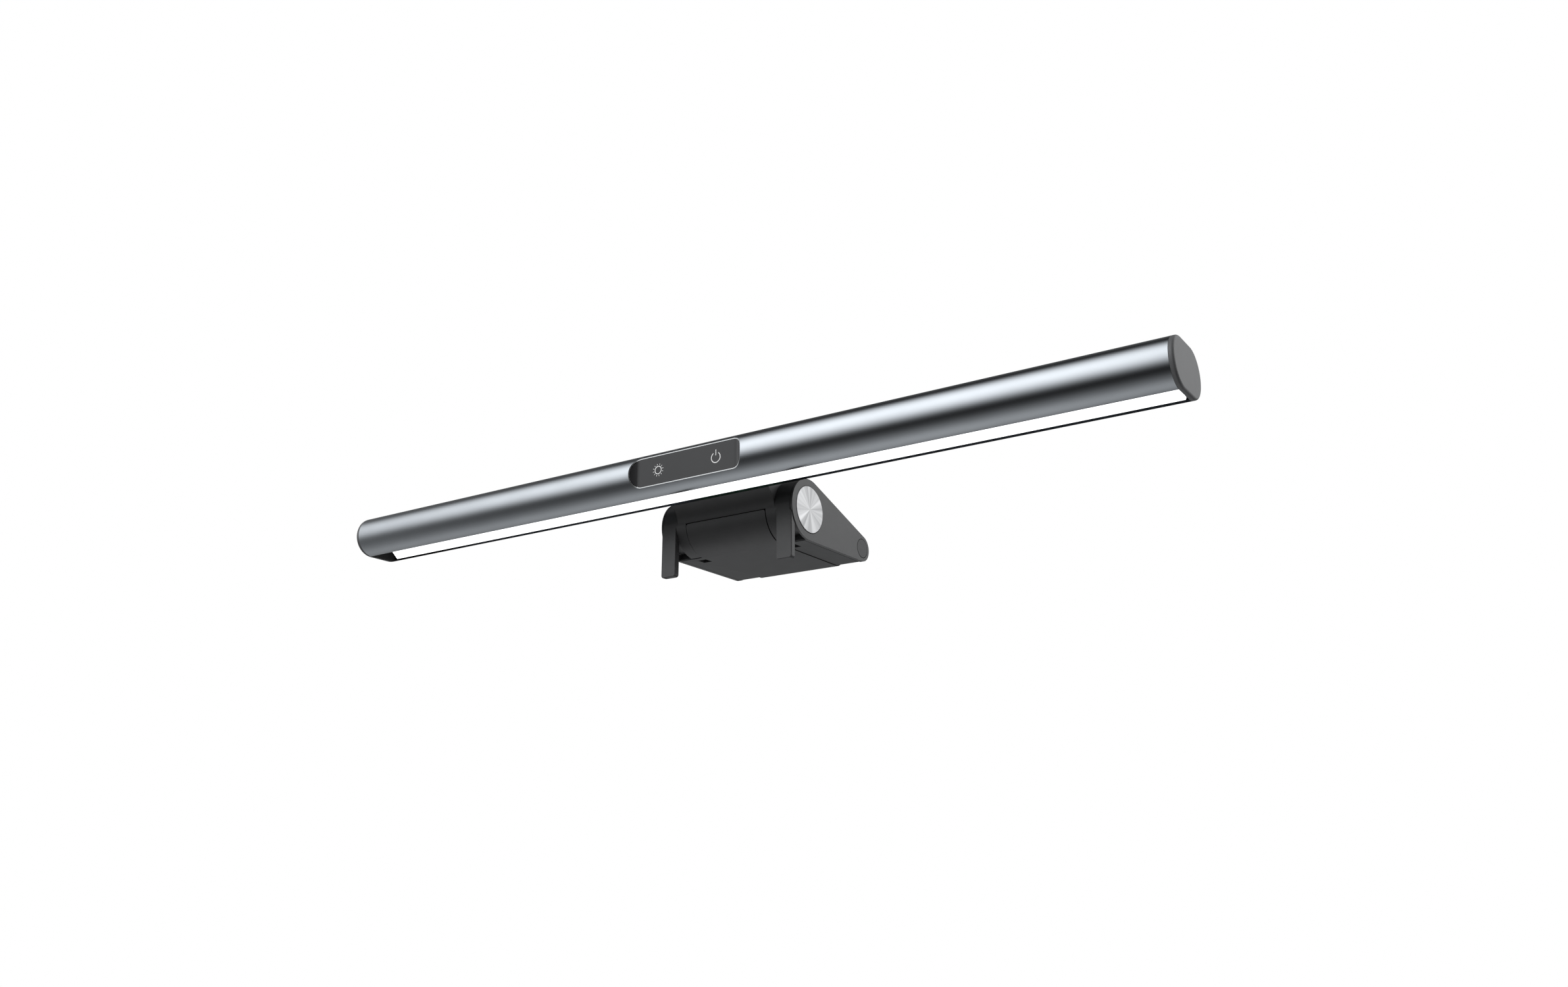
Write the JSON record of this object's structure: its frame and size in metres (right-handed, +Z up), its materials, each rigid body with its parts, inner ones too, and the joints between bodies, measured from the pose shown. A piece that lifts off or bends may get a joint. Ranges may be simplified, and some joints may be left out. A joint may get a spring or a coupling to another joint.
{
  "type": "monitor light bar",
  "caption": "Bar lamp with a slanted light plate, touch controls and a sprung clip whose hooks and fold-down flap grip the top edge of a screen.",
  "frame": {"origin": "middle of the corner where the screen's front face meets its top edge, where the hooks and the arm seat", "axes": "+X along the bar, +Y away from the user over the top of the screen, +Z up"},
  "size_m": [0.45, 0.1018, 0.0534],
  "materials": {
    "anodised_aluminium": "space grey anodised extrusion, fine blasted grain",
    "cap_grey": "satin moulded plastic with a fine grain",
    "opal": "opal acrylic, lit from behind",
    "led_board": "white solder mask on an aluminium strip",
    "circuit_board": "green solder mask",
    "touch_cover": "smoked gloss plastic with two light symbols",
    "moulded_black": "fine spark-eroded grain, near black",
    "cheek_black": "fine grain, dark grey",
    "spun_metal": "spun finish, grain running round the centre",
    "steel": "turned, nickel plated",
    "spring_steel": "drawn wire, oiled",
    "silicone": "soft matt silicone"
  },
  "bodies": {
    "arm": {"arm_frame": "moulded_black", "cheek_right": "cheek_black", "cheek_left": "cheek_black", "side_disc_right": "spun_metal", "side_disc_left": "spun_metal", "pin_cover_right": "moulded_black", "pin_cover_left": "moulded_black", "barrel_axle": "steel", "barrel_spring": "spring_steel", "rear_pin": "steel"},
    "bracket": {"bracket_shell": "moulded_black", "hook_pad_right": "silicone", "hook_pad_left": "silicone"},
    "lamp": {"lamp_tube": "anodised_aluminium", "end_cap_right": "cap_grey", "end_cap_left": "cap_grey", "diffuser_plate": "opal", "led_board": "led_board", "touch_cover": "touch_cover", "touch_board": "circuit_board", "power_socket": "moulded_black", "tilt_screw_right": "steel", "tilt_screw_left": "steel", "tilt_nut_plate": "steel"},
    "flap": {"flap": "moulded_black", "flap_weight": "steel", "flap_pad": "silicone", "flap_spring": "spring_steel"}
  },
  "joints": [
    {"name": "bracket_swing", "type": "hinge", "parent": "arm", "child": "bracket", "pos_m": [0, 0.0114, 0.0146], "axis": [1, 0, 0], "range_deg": [-25, 0], "stiffness_Nm_per_rad": 0.25, "springref_deg": 34.38},
    {"name": "lamp_tilt", "type": "hinge", "parent": "bracket", "child": "lamp", "pos_m": [0, -0.01395, 0.0317], "axis": [1, 0, 0], "range_deg": [-18, 18]},
    {"name": "flap_swing", "type": "hinge", "parent": "arm", "child": "flap", "pos_m": [0, 0.059, 0.0064], "axis": [1, 0, 0], "range_deg": [0, 105], "stiffness_Nm_per_rad": 0.03, "springref_deg": -68.75}
  ]
}
